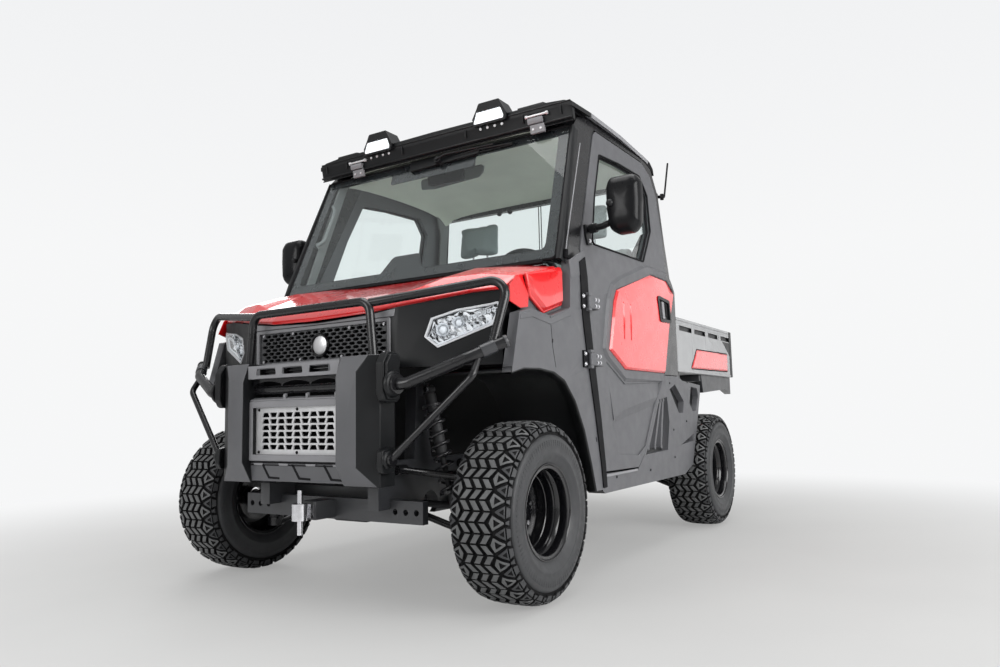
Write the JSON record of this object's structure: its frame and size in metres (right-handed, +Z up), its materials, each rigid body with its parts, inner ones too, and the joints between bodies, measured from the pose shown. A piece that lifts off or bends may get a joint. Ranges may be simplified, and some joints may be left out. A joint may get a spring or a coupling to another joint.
{
  "type": "side by side utility vehicle with cab, brush guard and tipping bed",
  "caption": "Two-seat side by side utility vehicle with an enclosed cab, tubular brush guard, steered front wheels, hinged doors, tilting load bed and drop tailgate.",
  "frame": {"origin": "on the ground, midway along the vehicle's length and width", "axes": "+X forward, +Y to the vehicle's left, +Z up"},
  "size_m": [3.23, 2.066, 2.08],
  "materials": {
    "black_paint": "satin powder coat",
    "frame_paint": "satin",
    "cast_metal": "dull",
    "engine_metal": "dull",
    "red_paint": "gloss",
    "dark_plastic": "fine grain",
    "black_plastic": "fine grain",
    "tyre_rubber": "matte",
    "rim_paint": "gloss",
    "lamp_lens": "clear",
    "tinted_glass": "tinted",
    "silver_metal": "satin",
    "zinc": "bright zinc",
    "seat_cover": "soft vinyl",
    "bed_steel": "satin"
  },
  "bodies": {
    "root": {"chassis_frame": "frame_paint", "engine_block": "engine_metal", "axles": "cast_metal", "rear_hubs": "cast_metal", "suspension_arms": "black_paint", "coilovers": "black_paint", "bonnet": "red_paint", "headlamps": "lamp_lens", "work_lamps": "black_plastic", "front_fascia": "black_plastic", "upper_grille": "black_plastic", "lower_grille": "silver_metal", "front_bumper": "dark_plastic", "brush_guard": "black_paint", "front_coupler": "zinc", "front_fenders": "dark_plastic", "side_panels": "dark_plastic", "cab_frame": "black_paint", "cab_tub": "black_plastic", "dashboard": "black_plastic", "seats": "seat_cover", "roof": "black_plastic", "cab_glass": "tinted_glass"},
    "left_door": {"left_door_shell": "dark_plastic", "left_door_insert": "red_paint", "left_door_glass": "tinted_glass", "left_mirror": "black_plastic"},
    "left_steer": {"left_knuckle": "cast_metal"},
    "right_door": {"right_door_shell": "dark_plastic", "right_door_insert": "red_paint", "right_door_glass": "tinted_glass", "right_mirror": "black_plastic"},
    "right_steer": {"right_knuckle": "cast_metal"},
    "front_left_wheel": {"front_left_tyre": "tyre_rubber", "front_left_rim": "rim_paint"},
    "front_right_wheel": {"front_right_tyre": "tyre_rubber", "front_right_rim": "rim_paint"},
    "rear_left_wheel": {"rear_left_tyre": "tyre_rubber", "rear_left_rim": "rim_paint"},
    "rear_right_wheel": {"rear_right_tyre": "tyre_rubber", "rear_right_rim": "rim_paint"},
    "steering": {"steering_wheel": "black_plastic"},
    "load_bed": {"bed_tub": "bed_steel", "bed_underframe": "frame_paint"},
    "tailgate": {"tailgate": "bed_steel"},
    "lift_barrel": {"lift_barrel": "black_paint"},
    "lift_rod": {"lift_rod": "zinc"}
  },
  "joints": [
    {"name": "left_steer", "type": "hinge", "parent": "root", "child": "left_steer", "pos_m": [1.168, 0.56, 0.3175], "axis": [0, 0, 1], "range_deg": [-28, 28]},
    {"name": "right_steer", "type": "hinge", "parent": "root", "child": "right_steer", "pos_m": [1.168, -0.56, 0.3175], "axis": [0, 0, 1], "range_deg": [-28, 28]},
    {"name": "steering_turn", "type": "hinge", "parent": "root", "child": "steering", "pos_m": [0.433, 0.35, 1.275], "axis": [-0.848, 0, 0.5299], "range_deg": [-336.5, 336.5]},
    {"name": "front_left_spin", "type": "hinge", "parent": "left_steer", "child": "front_left_wheel", "pos_m": [1.168, 0.72, 0.3175], "axis": [0, 1, 0], "continuous": true},
    {"name": "rear_left_spin", "type": "hinge", "parent": "root", "child": "rear_left_wheel", "pos_m": [-0.907, 0.72, 0.3175], "axis": [0, 1, 0], "continuous": true},
    {"name": "left_door_hinge", "type": "hinge", "parent": "root", "child": "left_door", "pos_m": [0.763, 0.812, 1], "axis": [0, 0, -1], "range_deg": [0, 65]},
    {"name": "front_right_spin", "type": "hinge", "parent": "right_steer", "child": "front_right_wheel", "pos_m": [1.168, -0.72, 0.3175], "axis": [0, 1, 0], "continuous": true},
    {"name": "rear_right_spin", "type": "hinge", "parent": "root", "child": "rear_right_wheel", "pos_m": [-0.907, -0.72, 0.3175], "axis": [0, 1, 0], "continuous": true},
    {"name": "right_door_hinge", "type": "hinge", "parent": "root", "child": "right_door", "pos_m": [0.763, -0.812, 1], "axis": [0, 0, 1], "range_deg": [0, 65]},
    {"name": "bed_tilt", "type": "hinge", "parent": "root", "child": "load_bed", "pos_m": [-1.419, 0, 0.8], "axis": [0, -1, 0], "range_deg": [0, 38]},
    {"name": "tailgate_hinge", "type": "hinge", "parent": "load_bed", "child": "tailgate", "pos_m": [-1.607, 0, 0.872], "axis": [0, -1, 0], "range_deg": [0, 90]},
    {"name": "lift_swing", "type": "hinge", "parent": "root", "child": "lift_barrel", "pos_m": [-1.287, 0, 0.47], "axis": [0, -1, 0], "range_deg": [0, 16.42]},
    {"name": "lift_stroke", "type": "slide", "parent": "lift_barrel", "child": "lift_rod", "axis": [0.4903, 0, 0.8716], "range_m": [0, 0.1614]}
  ],
  "couplings": [
    {"joint": "right_steer", "follows": "left_steer", "ratio": 1},
    {"joint": "steering_turn", "follows": "left_steer", "ratio": 12},
    {"joint": "lift_swing", "follows": "bed_tilt", "ratio": 0.42684},
    {"joint": "lift_stroke", "follows": "bed_tilt", "m_per_rad": 0.24257}
  ]
}
